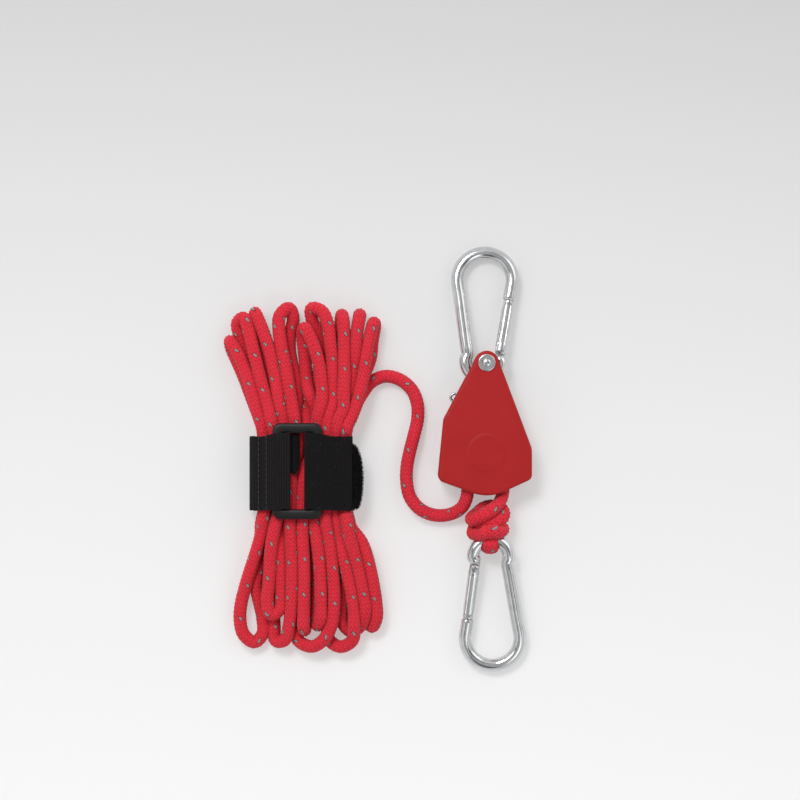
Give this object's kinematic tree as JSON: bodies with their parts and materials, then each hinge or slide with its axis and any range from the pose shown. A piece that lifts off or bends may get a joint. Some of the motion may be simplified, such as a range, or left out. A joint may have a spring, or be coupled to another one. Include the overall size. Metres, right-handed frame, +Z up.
{
  "type": "rope ratchet hoist",
  "caption": "Rope ratchet hoist: a ratchet sheave in a pressed-steel housing, a spring-gate snap hook at each end, and spare rope folded in a hank under a cinch strap.",
  "frame": {"origin": "under the middle of the housing and the two snap hooks, on the surface that the part lies on", "axes": "+Y from the load hook towards the hanging hook, +Z up from the surface, through the housing's thickness"},
  "size_m": [0.1542, 0.2132, 0.0212],
  "materials": {
    "red_paint": "semi-gloss red powder coat",
    "zinc": "bright zinc plate",
    "steel": "plain bright steel",
    "bronze": "oiled sintered bronze",
    "red_rope": "braided polypropylene with grey tracer flecks",
    "webbing": "black hook-and-loop webbing",
    "black_plastic": "moulded black plastic"
  },
  "bodies": {
    "housing": {"front_shell": "red_paint", "back_shell": "red_paint", "top_rivet": "zinc", "front_washer": "zinc", "back_washer": "zinc", "sheave_axle": "steel", "lever_pin": "steel", "lever_spring": "steel", "rope_over_sheave": "red_rope", "rope_lead": "red_rope", "rope_load_line": "red_rope", "rope_knot": "red_rope", "rope_eye": "red_rope", "rope_hank": "red_rope", "strap_band": "webbing", "strap_fold": "webbing", "strap_flap": "webbing", "buckle": "black_plastic"},
    "sheave": {"sheave": "zinc", "sheave_bush": "bronze", "ratchet_wheel": "steel"},
    "lever": {"release_lever": "zinc"},
    "upper_hook": {"upper_hook": "zinc", "upper_gate_rivet": "steel"},
    "upper_gate": {"upper_gate": "zinc", "upper_gate_plunger": "steel", "upper_gate_spring": "steel"},
    "lower_hook": {"lower_hook": "zinc", "lower_gate_rivet": "steel"},
    "lower_gate": {"lower_gate": "zinc", "lower_gate_plunger": "steel", "lower_gate_spring": "steel"}
  },
  "joints": [
    {"name": "sheave_spin", "type": "hinge", "parent": "housing", "child": "sheave", "pos_m": [0.0009, 0.0034, 0.009], "axis": [0, 0, 1], "continuous": true},
    {"name": "lever_release", "type": "hinge", "parent": "housing", "child": "lever", "pos_m": [0.0034, 0.0209, 0.009], "axis": [0, 0, 1], "range_deg": [-15, 0], "stiffness_Nm_per_rad": 0.01},
    {"name": "upper_hook_swing", "type": "hinge", "parent": "housing", "child": "upper_hook", "pos_m": [0.0009, 0.0482, 0.009], "axis": [0, 0, 1], "range_deg": [-70, 55]},
    {"name": "upper_gate_open", "type": "hinge", "parent": "upper_hook", "child": "upper_gate", "pos_m": [0.00788, 0.05434, 0.00843], "axis": [0.0022, 0.1054, 0.9944], "range_deg": [0, 36], "stiffness_Nm_per_rad": 0.05},
    {"name": "lower_hook_swing", "type": "hinge", "parent": "housing", "child": "lower_hook", "pos_m": [0.00315, -0.04905, 0.00819], "axis": [0, 0, 1], "range_deg": [-35, 35]},
    {"name": "lower_gate_open", "type": "hinge", "parent": "lower_hook", "child": "lower_gate", "pos_m": [-0.00514, -0.05462, 0.0077], "axis": [0.0021, -0.0905, 0.9959], "range_deg": [0, 36], "stiffness_Nm_per_rad": 0.05}
  ]
}
